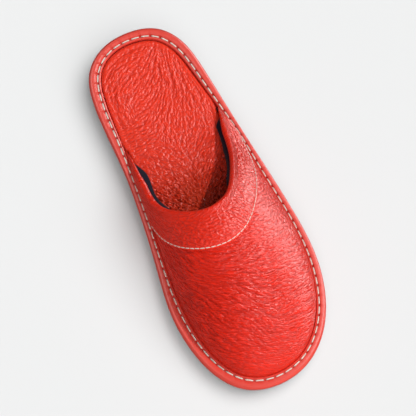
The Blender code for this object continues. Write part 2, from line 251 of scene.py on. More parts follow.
BAND_FLOW = [
    ("instep", -8, -32, -8, 2.8, 0.23),
    ("instep, lateral", 14, -28, -50, 2.8, 0.31),
    ("lateral shoulder", 30, -10, -25, 3.0, 0.30),
    ("lateral side", 40, 14, -85, 4.0, 0.24),
    ("lateral wing", 42, 40, -84, 4.0, 0.20),
    ("instep, medial", -28, -28, -50, 2.6, 0.24),
    ("medial side", -46, 0, -72, 4.0, 0.20),
    ("medial wing", -46, 36, -80, 4.0, 0.18),
]

# Main creases, seen from above: both ends, the bow of the line between them, half width and depth.
UPPER_CREASES = [
    ("toe piece, behind the ball", -34, -56, 8, -74, 3.0, 1.4, 0.16),
    ("toe piece, ball", -30, -68, 20, -92, 4.0, 1.5, 0.16),
    ("toe piece, toe joint", -34, -84, 10, -106, 4.0, 1.4, 0.15),
    ("toe piece, toe", -28, -100, 16, -116, 3.0, 1.4, 0.14),
    ("lateral, by the seam", 10, -52, 38, -42, -3.0, 1.4, 0.13),
    ("lateral, ball", 14, -66, 44, -54, -3.0, 1.4, 0.13),
    ("lateral, toe joint", 16, -84, 42, -68, -3.0, 1.4, 0.13),
    ("medial, by the binding", -41, -36, -43, -72, 2.0, 1.4, 0.13),
]
INSOLE_CREASES = [
    ("heel, lateral run", 8, 118, 12, 84, -2.0, 1.3, 0.30),
    ("heel, lateral run, second", 15, 112, 17, 72, -2.0, 1.3, 0.34),
    ("heel, lateral run, third", 21, 104, 22, 70, -1.5, 1.2, 0.26),
    ("heel, medial swirl", -30, 112, -33, 86, 3.0, 1.3, 0.26),
    ("heel, swirl", -22, 112, -2, 116, -3.0, 1.3, 0.24),
    ("waist, medial diagonal", -34, 52, -2, 24, 3.0, 1.5, 0.28),
    ("waist, second diagonal", -30, 44, 2, 8, 3.0, 1.5, 0.30),
    ("throat, medial", -32, 22, -10, 12, -3.0, 1.4, 0.32),
    ("throat, middle", -2, 30, 4, 2, 2.0, 1.4, 0.30),
]

# Colours, from one tone to the other; the leathers' are their dye, a painted shade for their creases
# and their rubbed tone.
BINDING_RED = ((0.74, 0.058, 0.038), (0.40, 0.012, 0.006), (0.82, 0.11, 0.085))
INSOLE_RED = ((0.86, 0.040, 0.015), (0.44, 0.010, 0.003), (0.88, 0.070, 0.040))
# Colour of the painted shade under the instep, laid on the insole's throat.
INSOLE_INSTEP_SHADE = (0.56, 0.042, 0.012)
UPPER_RED = ((0.83, 0.017, 0.003), (0.40, 0.004, 0.001), (0.84, 0.040, 0.016))
BAND_RED = ((0.84, 0.020, 0.003), (0.42, 0.005, 0.001), (0.84, 0.040, 0.016))
NAVY = ((0.003, 0.003, 0.007), (0.011, 0.011, 0.026))
OFF_WHITE = ((0.70, 0.58, 0.50), (0.95, 0.88, 0.80))
THREAD_SOIL = (0.72, 0.46, 0.38)
SOLE_RED = ((0.10, 0.012, 0.010), (0.17, 0.022, 0.017))
SOLE_SCUFF = (0.26, 0.09, 0.075)
FLOOR_GREY = ((0.595, 0.60, 0.60), (0.61, 0.615, 0.615))

PEBBLE = 1.2  # size of the leather's pebbles
CREASE_CELL = (2.1, 4.6)  # width and length of its fine creases
CLOTH_THREAD = 0.6  # spacing of the lining's threads

CAMERA_AIM = (-0.53, -2.5, 12.0)
CAMERA_DISTANCE = 2352.0
CAMERA_AZIMUTH = -26.87
CAMERA_ELEVATION = 70.02
CAMERA_ROLL = math.radians(3.81)
CAMERA_LENS = 290.0
SKY = 0.045


def numbers(table):
    """The numbers of a table, without the names of its rows."""
    return np.array([row[1:] for row in table], dtype=float)


def run_length(points):
    """Length along a line, from its start to each of its points."""
    return np.r_[0.0, np.cumsum(np.linalg.norm(np.diff(points, axis=0), axis=1))]


def look_up(at, places, rows, period=None):
    """Rows at places between those of a table."""
    return np.stack([np.interp(at, places, axis, period=period) for axis in rows.T], axis=1)


def smooth_curve(points, count, closed=False):
    """Evenly spaced points on a cubic spline through the given points (rows of numbers)."""
    if closed:
        points = np.vstack([points, points[:1]])
    knots = run_length(points[:, :2])
    gaps = np.diff(knots)
    slopes = np.diff(points, axis=0) / gaps[:, None]
    last = len(gaps)
    system = np.eye(last + 1)
    target = np.zeros_like(points)
    for i in range(0 if closed else 1, last):
        before = gaps[i - 1]
        system[i] = 0.0
        system[i, i] = 2.0 * (before + gaps[i])
        system[i, (i - 1) % last if closed else i - 1] += before
        system[i, i + 1] += gaps[i]
        target[i] = 6.0 * (slopes[i] - slopes[i - 1])
    if closed:
        system[last, 0] = -1.0
    bends = np.linalg.solve(system, target)

    place = np.linspace(0.0, knots[-1], 40 * count)
    i = np.clip(np.searchsorted(knots, place, side="right") - 1, 0, last - 1)
    right = ((place - knots[i]) / gaps[i])[:, None]
    left = 1.0 - right
    size = (gaps[i] ** 2 / 6.0)[:, None]
    dense = left * points[i] + right * points[i + 1]
    dense += size * ((left ** 3 - left) * bends[i] + (right ** 3 - right) * bends[i + 1])
    length = run_length(dense)
    return look_up(np.linspace(0.0, length[-1], count, endpoint=not closed), length, dense)


def level_curve(x, y, at):
    """Monotone cubic through (x, y): flat stretches stay exactly flat."""
    gaps = np.diff(x)
    slopes = np.diff(y) / gaps
    tangents = np.r_[slopes[0], np.zeros(len(x) - 2), slopes[-1]]
    for i in range(1, len(x) - 1):
        if slopes[i - 1] * slopes[i] > 0.0:
            weight = (2 * gaps[i] + gaps[i - 1], gaps[i] + 2 * gaps[i - 1])
            tangents[i] = sum(weight) / (weight[0] / slopes[i - 1] + weight[1] / slopes[i])
    at = np.clip(at, x[0], x[-1])
    i = np.clip(np.searchsorted(x, at, side="right") - 1, 0, len(gaps) - 1)
    u = (at - x[i]) / gaps[i]
    rise = y[i] + (y[i + 1] - y[i]) * u * u * (3.0 - 2.0 * u)
    return rise + gaps[i] * u * (1.0 - u) * (tangents[i] * (1.0 - u) - tangents[i + 1] * u)


def deck(y):
    """Height of the top of the outsole, which carries everything else."""
    return level_curve(*numbers(DECK).T, y)


def smooth_step(x, low=0.0, high=1.0):
    """0 below low, 1 above high, and a soft rise between them."""
    x = np.clip((x - low) / (high - low), 0.0, 1.0)
    return x * x * (3.0 - 2.0 * x)


def bell(x, width):
    """1 in the middle, and almost nothing at twice the width."""
    return np.exp(-((x / width) ** 2))


def quarter_round(x):
    """How far a rounded edge lies below the surface: 1 at x = 0, and 0 from x = 1 on."""
    return 1.0 - np.sqrt(1.0 - (1.0 - np.clip(x, 0.0, 1.0)) ** 2)


def unit(vectors):
    """The vectors, along the last axis, at length 1."""
    return vectors / np.maximum(np.linalg.norm(vectors, axis=-1, keepdims=True), 1e-9)


def outline():
    """Points round the platform from the heel over the medial side: place, inward normal, rim width."""
    y, medial, lateral, rim_medial, rim_lateral = numbers(OUTLINE).T
    medial = np.stack([medial, y, rim_medial], axis=1)[::-1]
    lateral = np.stack([lateral, y, rim_lateral], axis=1)[1:-1]
    loop = smooth_curve(np.vstack([medial, lateral]), EDGE_POINTS, closed=True)
    along = unit(np.roll(loop[:, :2], -1, axis=0) - np.roll(loop[:, :2], 1, axis=0))
    return loop[:, :2], np.stack([-along[:, 1], along[:, 0]], axis=1), loop[:, 2]


EDGE, INWARD, RIM = outline()


def inset(distance):
    """The outline moved inward; the distance is one number or one for each point."""
    return EDGE + INWARD * np.broadcast_to(distance, len(EDGE))[:, None]


def fan_angle(points):
    """Direction of the line up the upper through each point, in degrees, 0 toward the toe."""
    across = points[:, 0] - FAN_PIVOT[0]
    behind = points[:, 1] - FAN_PIVOT[1]
    ahead = np.degrees(np.arctan2(across, -np.minimum(behind, 0.0)))
    return np.where(behind > 0.0, np.sign(across) * (90.0 + behind), ahead)


def upper_lines():
    """Points of the outline under the upper, then foot, collar point and fan angle of each line on it."""
    base = inset(RIM + GAP)
    throat = smooth_curve(numbers(THROAT), THROAT_POINTS)
    angles = fan_angle(throat)
    base_angles = fan_angle(base)
    covered = np.flatnonzero((base_angles > angles[0]) & (base_angles < angles[-1]))
    length = run_length(base[covered])
    foot = look_up(np.linspace(0.0, length[-1], LINES), length, base[covered])
    angle = fan_angle(foot)
    return covered, foot, look_up(angle, angles, throat), angle


COVERED, FOOT, COLLAR, ANGLE = upper_lines()
DECK_AT_FOOT = deck(FOOT[:, 1])
REACH = COLLAR[:, :2] - FOOT


def each_line(t):
    """A place between the binding (0) and the collar (1) for each line, from one number or many."""
    return np.broadcast_to(np.asarray(t, dtype=float), LINES)


def upper_point(t):
    """Outer surface of the upper at t on each line."""
    t = each_line(t)
    toeward = np.cos(np.radians(np.clip(ANGLE, -90.0, 90.0))) ** 2
    share = ROUND_WING + (ROUND_TOE - ROUND_WING) * toeward
    round_rise = (1.0 - (1.0 - np.clip(t, 0.0, 1.0)) ** ROUND_POWER) ** (1.0 / ROUND_POWER)
    rise = share * round_rise + (1.0 - share) * t
    low = DECK_AT_FOOT + RIM_HEIGHT
    return np.column_stack([FOOT + REACH * t[:, None], low + (COLLAR[:, 2] - low) * rise])


def upper_frame(t):
    """Point, unit direction up the line and outward normal of the upper at t on each line."""
    step = 0.01
    point = upper_point(t)
    high = np.minimum(each_line(t) + step, 1.0)
    up = unit(upper_point(high) - upper_point(high - step))
    return point, up, unit(np.cross(np.gradient(point, axis=0), up))


def line_lengths():
    """Length along each line from the binding to a table of evenly spaced places on it."""
    points = np.stack([upper_point(t) for t in np.linspace(0.0, 1.0, 61)])
    steps = np.linalg.norm(np.diff(points, axis=0), axis=2)
    return np.vstack([np.zeros(LINES), np.cumsum(steps, axis=0)])


LENGTH_TO = line_lengths()
LENGTHS = LENGTH_TO[-1]
ROLL_RADII = np.minimum(ROLL_RADIUS, ROLL_SHARE * LENGTHS)
WALL_ENDS = 1.0 - (2.0 * ROLL_RADII + GAP) / LENGTHS


def flat_cut(t):
    """The upper laid out flat from the collar outward, for each line at t: a place in the leather."""
    last = len(LENGTH_TO) - 1
    place = np.clip(each_line(t), 0.0, 1.0) * last
    low = np.clip(place.astype(int), 0, last - 1)
    lines = np.arange(LINES)
    part = place - low
    length = LENGTH_TO[low, lines] * (1.0 - part) + LENGTH_TO[low + 1, lines] * part
    return COLLAR[:, :2] + unit(-REACH) * (LENGTHS - length)[:, None]


def seam_shares():
    """Where the seam crosses each line, as t; 0 on the wings, where the band reaches the binding."""
    seam = smooth_curve(numbers(SEAM), SEAM_POINTS)
    angles = fan_angle(seam)
    crossing = look_up(ANGLE, angles, seam)
    share = ((crossing - FOOT) * REACH).sum(axis=1) / (REACH ** 2).sum(axis=1)
    return np.where((ANGLE > angles[0]) & (ANGLE < angles[-1]), np.maximum(share, 0.0), 0.0)


SEAM_SHARES = seam_shares()

# ---------------- relief of the leather


def blurred(field, size):
    """A field smoothed over that many of its cells."""
    rows, columns = [np.fft.fftfreq(count) for count in field.shape]
    square = rows[:, None] ** 2 + columns ** 2
    return np.real(np.fft.ifft2(np.fft.fft2(field) * np.exp(-2.0 * (math.pi * size) ** 2 * square)))


class Relief:
    """Creases of a piece of leather on its flat cut: plump cells, and long fine lines over them.

    Both follow a flow listed in a table. cells is the size of the cells and lines the width of the lines;
    plump and fine are their depths where the flow's own depth is 1.
    """

    STEP = 0.3

    def __init__(self, low, high, table, seed, cells, plump, lines, fine):
        self.low, self.high = low, high
        self.table = table
        axes = [np.arange(a, b, self.STEP) for a, b in zip(low, high)]
        self.x, self.y = np.meshgrid(*axes, indexing="ij")
        self.angle, self.run, self.depth = self.flow(self.x, self.y)
        self.height = plump * self.plump_cells(cells, np.random.default_rng(seed))
        self.height += fine * self.drawn_lines(lines, np.random.default_rng(seed + 1))
        self.places = self.flow_places()

    def flow(self, x, y):
        """Direction of the creases, how far they run, and their depth, blended from the table."""
        row_x, row_y, direction, run, depth = numbers(self.table).T
        away = (x[..., None] - row_x) ** 2 + (y[..., None] - row_y) ** 2
        weight = (away + FLOW_REACH) ** -FLOW_FALL
        weight /= weight.sum(axis=-1, keepdims=True)
        double = np.radians(2.0 * direction)
        angle = 0.5 * np.arctan2(weight @ np.sin(double), weight @ np.cos(double))
        return angle, np.clip(weight @ run / 2.0, *RUN_LIMITS), weight @ depth

    def smoothed(self, field, size):
        """A field smoothed over that many millimetres."""
        return blurred(field, size / self.STEP)

    def drift(self, size, random):
        """Soft random field of spread 1, with features of that size in millimetres."""
        field = self.smoothed(random.standard_normal(self.x.shape), size)
        return field / field.std()

    def swayed(self, sways, random):
        """Cosine and sine of the flow's direction with random bends in it."""
        angle = self.angle
        for size, turn in sways:
            angle = angle + turn * self.drift(size, random)
        return np.cos(angle), np.sin(angle)

    def plump_cells(self, size, random):
        """Crowned cells with valleys between them, drawn out along the flow."""
        cos, sin = self.swayed(CELL_SWAY, random)
        x, y = [axis + 0.16 * size * self.drift(0.45 * size, random) for axis in (self.x, self.y)]

        # Seeds lie thinner where the cells are drawn out longer.
        count = int(np.prod(np.subtract(self.high, self.low)) / (0.8 * size ** 2))
        seeds = random.uniform(self.low, self.high, (count, 2))
        kept = random.uniform(0.0, 1.0, count) < 1.0 / self.sample(self.run, *seeds.T)
        first, second = np.full((2, *x.shape), 1e3)
        tall = np.ones(x.shape)
        reach = int(1.9 * size * self.run.max() / self.STEP)
        for seed in seeds[kept]:
            i, j = ((seed - self.low) / self.STEP).astype(int)
            patch = (slice(max(i - reach, 0), i + reach), slice(max(j - reach, 0), j + reach))
            dx, dy = x[patch] - seed[0], y[patch] - seed[1]
            along = (dx * cos[patch] + dy * sin[patch]) / self.run[patch]
            away = np.hypot(along, dy * cos[patch] - dx * sin[patch])
            near = away < first[patch]
            second[patch] = np.where(near, first[patch], np.minimum(second[patch], away))
            first[patch] = np.where(near, away, first[patch])
            tall[patch] = np.where(near, random.uniform(0.55, 1.25), tall[patch])
        plump = np.clip((second - first) / (0.9 * size), 0.0, 1.0)
        height = plump * (2.0 - plump) * (0.6 + 0.4 * self.smoothed(tall, 0.3 * size))
        height = self.smoothed(height, 0.08 * size)
        return height - self.smoothed(height, 0.7 * size)

    def drawn_lines(self, width, random):
        """Fine noise averaged along the flow: what is left are long lines that follow it."""
        noise = random.standard_normal(self.x.shape)
        noise = self.smoothed(noise, width) - self.smoothed(noise, 2.2 * width)
        cos, sin = self.swayed(LINE_SWAY, random)
        length = LINE_RUN * (self.run - 0.75)
        total = noise.copy()
        weight = np.ones(noise.shape)
        for way in (1.0, -1.0):
            i, j = np.indices(noise.shape).astype(float)
            go_x, go_y = cos * way, sin * way
            for count in range(1, LINE_STRIDES + 1):
                i = np.clip(i + go_x * LINE_STRIDE, 0, noise.shape[0] - 1)
                j = np.clip(j + go_y * LINE_STRIDE, 0, noise.shape[1] - 1)
                near = (np.rint(i).astype(int), np.rint(j).astype(int))
                same = np.sign(cos[near] * go_x + sin[near] * go_y)
                same[same == 0.0] = 1.0
                go_x, go_y = cos[near] * same, sin[near] * same
                share = bell(count * LINE_STRIDE * self.STEP, length)
                total += share * noise[near]
                weight += share ** 2
        lines = total / np.sqrt(weight)
        return np.clip(lines / lines.std(), -2.2, 2.2)

    def flow_places(self):
        """Places along and across the flow in millimetres: two fields whose slopes follow it best."""
        x, y = self.x, self.y
        rows, columns = [2.0 * math.pi * np.fft.fftfreq(count, self.STEP) for count in x.shape]
        rows = rows[:, None]
        square = rows ** 2 + columns ** 2
        square[0, 0] = 1.0
        borders = (x - self.low[0], self.high[0] - x, y - self.low[1], self.high[1] - y)
        inner = smooth_step(np.minimum.reduce(borders), 0.0, 25.0)
        cos, sin = np.cos(self.angle), np.sin(self.angle)
        places = []
        for slopes in ((cos, sin), (-sin, cos)):
            means = [(slope * inner).sum() / inner.sum() for slope in slopes]
            parts = [np.fft.fft2((slope - mean) * inner) for slope, mean in zip(slopes, means)]
            total = -1j * (rows * parts[0] + columns * parts[1]) / square
            places.append(np.real(np.fft.ifft2(total)) + means[0] * x + means[1] * y)
        return places

    def sample(self, field, x, y):
        """Values of one of the fields at places on the cut."""
        px = np.clip((x - self.low[0]) / self.STEP, 0.0, field.shape[0] - 1.001)
        py = np.clip((y - self.low[1]) / self.STEP, 0.0, field.shape[1] - 1.001)
        i, j = px.astype(int), py.astype(int)
        u, v = px - i, py - j
        low = field[i, j] * (1.0 - u) + field[i + 1, j] * u
        high = field[i, j + 1] * (1.0 - u) + field[i + 1, j + 1] * u
        return low * (1.0 - v) + high * v

    def heights(self, x, y):
        """Height in millimetres at places on the cut."""
        return self.sample(self.height, x, y) * self.sample(self.depth, x, y)

    def values(self, x, y):
        """What the material reads: twice the direction as two numbers, run, depth, and both places."""
        angle, run, depth = self.flow(x, y)
        along, across = [self.sample(field, x, y) for field in self.places]
        names = ("flow_x", "flow_y", "flow_run", "flow_depth", "flow_along", "flow_across")
        return dict(zip(names, (np.cos(2.0 * angle), np.sin(2.0 * angle), run, depth, along, across)))


def main_creases(table, x, y):
    """Depth of the main creases at places seen from above: soft troughs with a low ridge beside them."""
    relief = np.zeros(x.shape)
    for x1, y1, x2, y2, bow, width, depth in numbers(table):
        size = math.hypot(x2 - x1, y2 - y1)
        run_x, run_y = (x2 - x1) / size, (y2 - y1) / size
        along = ((x - x1) * run_x + (y - y1) * run_y) / size
        bend = bow * (1.0 - (2.0 * np.clip(along, 0.0, 1.0) - 1.0) ** 2)
        waver = 0.7 * np.sin(along * 11.0 + x1) + 0.4 * np.sin(along * 27.0 + y1)
        across = (y - y1) * run_x - (x - x1) * run_y - bend + waver
        held = smooth_step(along, -0.05, 0.25) * smooth_step(-along, -1.05, -0.75)
        ridge = 0.45 * bell(across - 1.9 * width, 1.2 * width)
        relief += depth * held * (ridge - bell(across, width))
    return relief


# ---------------- mesh building


def grid_normals(points, closed=False):
    """Unit normals of a grid of points; a closed grid repeats its first row and column at its end."""
    steps = []
    for axis in (0, 1):
        grid = points
        if closed:
            before, after = [np.take(grid, [place], axis=axis) for place in (-2, 1)]
            grid = np.concatenate([before, grid, after], axis=axis)
        step = np.gradient(grid, axis=axis)
        if closed:
            step = np.take(step, range(1, grid.shape[axis] - 1), axis=axis)
        steps.append(step)
    return unit(np.cross(*steps))


def skin(points, values=None, cut=None, closed=False):
    """A bmesh in metres: a grid whose corners are moved to a table of points (columns, rows, 3).

    values are tables of numbers kept on its corners by name, and cut is its UV map in metres. A closed
    skin has its meeting edges merged and its faces turned outward.
    """
    body = bmesh.new()
    layers = [(body.verts.layers.float.new(name), table) for name, table in (values or {}).items()]
    flat = body.loops.layers.uv.new("cut")
    columns, rows = points.shape[0] - 1, points.shape[1] - 1
    bmesh.ops.create_grid(body, x_segments=columns, y_segments=rows, size=0.5)
    places = {}
    for vert in body.verts:
        place = (round((vert.co.x + 0.5) * columns), round((vert.co.y + 0.5) * rows))
        places[vert.index] = place
        vert.co = points[place] * MM
        for layer, table in layers:
            vert[layer] = table[place]
    if cut is not None:
        for face in body.faces:
            for loop in face.loops:
                loop[flat].uv = cut[places[loop.vert.index]] * MM
    if closed:
        bmesh.ops.remove_doubles(body, verts=body.verts, dist=1e-6)
        bmesh.ops.recalc_face_normals(body, faces=body.faces)
    return body


def close_ends(body):
    """Cap the open ends of a tube-like skin and turn its faces outward."""
    bmesh.ops.holes_fill(body, edges=[e for e in body.edges if e.is_boundary], sides=0)
    bmesh.ops.recalc_face_normals(body, faces=body.faces)


def mesh_from(body, name):
    """A mesh from a bmesh, which is freed."""
    mesh = bpy.data.meshes.new(name)
    body.to_mesh(mesh)
    body.free()
    return mesh


def add_thing(name, data):
    """A new object in the scene."""
    thing = bpy.data.objects.new(name, data)
    bpy.context.scene.collection.objects.link(thing)
    return thing


def place_piece(name, body, material, replaces=()):
    """Turn a bmesh into a finished piece that rides on the slipper."""
    mesh = mesh_from(body, name)
    mesh.shade_smooth()
    mesh.set_sharp_from_angle(angle=SHARP_ANGLE)
    mesh.materials.append(material)
    piece = add_thing(name, mesh)
    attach(piece, "root")
    if replaces:
        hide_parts(*replaces)
    return piece


# ---------------- materials


class Value:
    """A socket that takes arithmetic: each operator adds its Math node."""

    def __init__(self, finish, socket):
        self.finish = finish
        self.socket = socket

    def math(self, operation, *others):
        """This value through a Math node with the others."""
        sockets = dict(enumerate((self, *others)))
        return self.finish.node("Math", {"operation": operation}, sockets)

    __add__ = __radd__ = partialmethod(math, "ADD")
    __sub__ = partialmethod(math, "SUBTRACT")
    __mul__ = __rmul__ = partialmethod(math, "MULTIPLY")
    __pow__ = partialmethod(math, "POWER")

    def __rsub__(self, other):
        return (self * -1.0) + other

    def clamped(self, low=0.0, high=1.0):
        """The value kept between two limits."""
        return self.math("MAXIMUM", low).math("MINIMUM", high)

    def rising(self, low, high):
        """0 below low, 1 above high, and a soft rise between them."""
        sockets = {"Value": self, "From Min": low, "From Max": high}
        return self.finish.node("MapRange", {"interpolation_type": "SMOOTHSTEP"}, sockets)


class Finish:
    """One material and the nodes of its surface. Sizes are in millimetres."""

    def __init__(self, name, **uniform):
        self.material = bpy.data.materials.new(name)
        self.material.use_nodes = True
        self.tree = self.material.node_tree
        self.surface = self.tree.nodes["Principled BSDF"]
        for socket, value in uniform.items():
            self.surface.inputs[socket.replace("_", " ")].default_value = value

    def node(self, kind, settings=None, sockets=None, output=0):
        """One node: its settings first, then the values or links of its sockets."""
        made = self.tree.nodes.new("ShaderNode" + kind)
        for key, value in (settings or {}).items():
            setattr(made, key, value)
        for key, value in (sockets or {}).items():
            if isinstance(value, Value):
                self.tree.links.new(value.socket, made.inputs[key])
            else:
                made.inputs[key].default_value = value
        return Value(self, made.outputs[output])

    def place(self):
        """Object coordinates."""
        return self.node("TexCoord", output="Object")

    def cut(self):
        """Place in the flat cut."""
        return self.node("UVMap", {"uv_map": "cut"})

    def attribute(self, name):
        """A number kept on the mesh."""
        return self.node("Attribute", {"attribute_name": name}, output="Fac")

    def noise(self, vector, size, detail=2.0, rough=0.5, warp=0.0, output="Fac"):
        """Soft noise with features of that size."""
        sockets = {"Vector": vector, "Scale": 1.0 / (size * MM), "Detail": detail}
        sockets.update(Roughness=rough, Distortion=warp)
        return self.node("TexNoise", None, sockets, output)

    def edges(self, vector, dimensions="3D", **sockets):
        """Distance to the edges of Voronoi cells."""
        settings = {"feature": "DISTANCE_TO_EDGE", "voronoi_dimensions": dimensions}
        return self.node("TexVoronoi", settings, {"Vector": vector, **sockets}, "Distance")

    def bands(self, vector, direction, **sockets):
        """Waves across a direction."""
        settings = {"wave_type": "BANDS", "bands_direction": direction, "wave_profile": "SIN"}
        return self.node("TexWave", settings, {"Vector": vector, **sockets}, "Fac")

    def vector(self, operation, first, second):
        """Vector Math on two vectors."""
        return self.node("VectorMath", {"operation": operation}, {0: first, 1: second})

    def shifted(self, vector, size, by):
        """Coordinates pushed about by noise of that size, by that much."""
        push = self.noise(vector, size, detail=1.0, output="Color")
        centred = self.vector("SUBTRACT", push, (0.5, 0.5, 0.5))
        return self.vector("ADD", vector, self.vector("MULTIPLY", centred, (by * MM,) * 3))

    def turned(self, vector, angle, length, width, shift=0.0):
        """Coordinates turned by an angle and counted in lengths and widths of a cell."""
        sockets = {"Vector": vector, "Rotation": (0.0, 0.0, angle), "Scale": (length, width, 1.0)}
        sockets["Location"] = (shift, 0.0, 0.0)
        return self.node("Mapping", {"vector_type": "TEXTURE"}, sockets)

    def creases(self, width, length):
        """Plump cells drawn out along the flow: four directions, each where the flow runs that way."""
        flat = self.shifted(self.cut(), 2.4, 0.7)
        flow = (self.attribute("flow_x"), self.attribute("flow_y"))
        parts = []
        for step, share in enumerate((flow[0], flow[1], flow[0] * -1.0, flow[1] * -1.0)):
            turned = self.turned(flat, math.radians(45.0 * step), length * MM, width * MM)
            plump = (self.edges(turned, "2D", Scale=1.0, Randomness=0.9) * 2.6).clamped()
            parts.append(plump * (2.0 - plump) * share.math("MAXIMUM", 0.0) ** 2.0)
        return parts[0] + parts[1] + parts[2] + parts[3]

    def lines(self, width, length):
        """Long fine lines along the flow: plump folds with sharp valleys between them."""
        sockets = {"X": self.attribute("flow_along"), "Y": self.attribute("flow_across")}
        place = self.shifted(self.node("CombineXYZ", None, sockets), 6000.0, 1400.0)
        folds = []
        for part, (turn, size) in enumerate(((0.0, 1.0), (0.12, 0.8))):
            sockets = {"Vector": self.turned(place, turn, length * size, width * size, 31.0 * part)}
            sockets.update(Scale=1.0, Detail=1.0, Roughness=0.4)
            noise = self.node("TexNoise", {"noise_dimensions": "2D"}, sockets, "Fac")
            fold = ((noise - 0.5) * 5.0).math("ABSOLUTE").clamped()
            folds.append(fold * (2.0 - fold))
        return folds[0].math("MINIMUM", folds[1] + 0.25)

    def mix(self, factor, first, second):
        """One colour to another; each is a link or a colour of three numbers."""
        settings = {"data_type": "RGBA", "blend_type": "MIX", "clamp_factor": True}
        colours = [c if isinstance(c, Value) else (*c, 1.0) for c in (first, second)]
        return self.node("Mix", settings, {0: factor, 6: colours[0], 7: colours[1]}, output=2)

    def bump(self, height, distance, **sockets):
        """A Bump node: height of 1 stands that far proud."""
        return self.node("Bump", None, {"Height": height, "Distance": distance * MM, **sockets})

    def feed(self, **sockets):
        """Link values to the surface."""
        for socket, value in sockets.items():
            self.tree.links.new(value.socket, self.surface.inputs[socket.replace("_", " ")])
        return self.material


def leather(name, colours, rough, gloss, pebble, creases=0.0, lines=None, scuff=0.12, worn=None):
    """Dyed grain leather: fine creases along its flow, pebbles and pores, and painted shade in its
    creases.

    colours are the dye, the painted shade for its creases and its rubbed tone. pebble is the height of
    the pebbles, and creases that of the fine creases where the flow's own depth is 1. lines holds the
    width and length of the lines that take their place where the flow runs long. scuff is how far the
    high places are rubbed, and the last argument is the colour of the painted shade under the instep.
    """
    hide = Finish(name, Specular_IOR_Level=gloss)
    dye, crease_shade, rubbed = colours
    place = hide.place()
    crease = hide.attribute("crease")
    mottle = hide.noise(place, 5.0, detail=3.0, rough=0.6)
    cloud = hide.noise(place, 34.0)
    fine = hide.noise(place, 0.6, rough=0.6)

    low = (1.0 - crease.rising(-0.20, 0.05)).clamped()
    high = crease.rising(0.02, 0.20)
    colour = hide.mix((cloud * 0.6 + mottle * 0.6 - 0.1).clamped() * 0.12, dye, rubbed)
    # Painted shade: the low places of the relief take the darker crease colour.
    colour = hide.mix(low * 0.36, colour, crease_shade)
    colour = hide.mix((high * mottle.rising(0.35, 0.7) * scuff).clamped(), colour, rubbed)
    # Painted shade under the instep, where the mesh carries its patch.
    if worn:
        colour = hide.mix(hide.attribute("worn") * (mottle * 0.4 + 0.5), colour, worn)
    dull = mottle * 0.14 + low * 0.06 + fine * 0.06

    pebbles = hide.edges(hide.shifted(place, 3.2, 1.0), Scale=1.0 / (PEBBLE * MM)).rising(0.0, 0.32)
    relief = hide.bump(pebbles * 0.8 + fine * 0.4, pebble)
    if creases:
        cells = hide.creases(*CREASE_CELL)
        if lines:
            drawn = hide.attribute("flow_run").rising(1.0, 2.2)
            cells = cells + (hide.lines(*lines) - cells) * drawn
        # Painted shade in the valleys of the fine creases.
        colour = hide.mix((1.0 - cells).clamped() ** 2.0 * 0.42, colour, crease_shade)
        dull = dull + (1.0 - cells) * 0.10
        relief = hide.bump(cells * hide.attribute("flow_depth"), creases, Normal=relief)
    roughness = (dull + (rough - 0.12)).clamped(0.12, 0.95)
    return hide.feed(Base_Color=colour, Roughness=roughness, Normal=relief)


def lining_cloth():
    """Dark woven lining with a soft nap."""
    cloth = Finish("navy lining", Sheen_Weight=0.08, Sheen_Roughness=0.5, Specular_IOR_Level=0.12)
    turned = cloth.node("Mapping", None, {"Vector": cloth.cut(), "Rotation": (0.0, 0.0, 0.6)})
    scale = 0.31 / (CLOTH_THREAD * MM)
    threads = [cloth.bands(turned, way, Scale=scale, Distortion=0.4, Detail=1.0) for way in "XY"]
    weave = threads[0].math("MAXIMUM", threads[1])
    nap = cloth.noise(cloth.place(), 0.5, detail=3.0, rough=0.7)
    colour = cloth.mix((weave * 0.6 + nap * 0.5).clamped(), *NAVY)
    relief = cloth.bump(weave + nap * 0.6, 0.12)
    return cloth.feed(Base_Color=colour, Roughness=nap * 0.2 + 0.7, Normal=relief)


def thread():
    """Off-white waxed thread with a two-ply twist."""
    ply = Finish("stitch thread", Specular_IOR_Level=0.4)
    twist = ply.bands(ply.cut(), "DIAGONAL", Scale=420.0)
    fibre = ply.noise(ply.place(), 0.3)
    soil = ply.noise(ply.place(), 9.0).rising(0.45, 0.8)
    colour = ply.mix(twist * 0.4 + fibre * 0.3, *OFF_WHITE)
    colour = ply.mix(soil * 0.3, colour, THREAD_SOIL)
    relief = ply.bump(twist + fibre * 0.5, 0.12)
    return ply.feed(Base_Color=colour, Roughness=fibre * 0.2 + 0.5, Normal=relief)


def rubber():
    """Matt moulded rubber with fine pitting and light scuffs."""
    sole = Finish("sole rubber", Specular_IOR_Level=0.35)
    place = sole.place()
    pits = sole.noise(place, 0.5, detail=3.0, rough=0.65)
    cloud = sole.noise(place, 22.0, detail=3.0)
    scuffs = sole.noise(place, 3.0, detail=4.0, rough=0.7, warp=1.2).rising(0.58, 0.72)
    colour = sole.mix(scuffs * 0.3, sole.mix(cloud, *SOLE_RED), SOLE_SCUFF)
    roughness = (pits * 0.25 + scuffs * 0.1 + 0.5).clamped()
    return sole.feed(Base_Color=colour, Roughness=roughness, Normal=sole.bump(pits, 0.09))


def studio_floor():
    """Pale matt studio floor with a barely visible tone in it."""
    paper = Finish("studio floor", Specular_IOR_Level=0.1, Roughness=0.9)
    return paper.feed(Base_Color=paper.mix(paper.noise(paper.place(), 400.0), *FLOOR_GREY))


# ---------------- pieces

AROUND = np.r_[np.arange(EDGE_POINTS), 0]  # points of the outline, back to the first


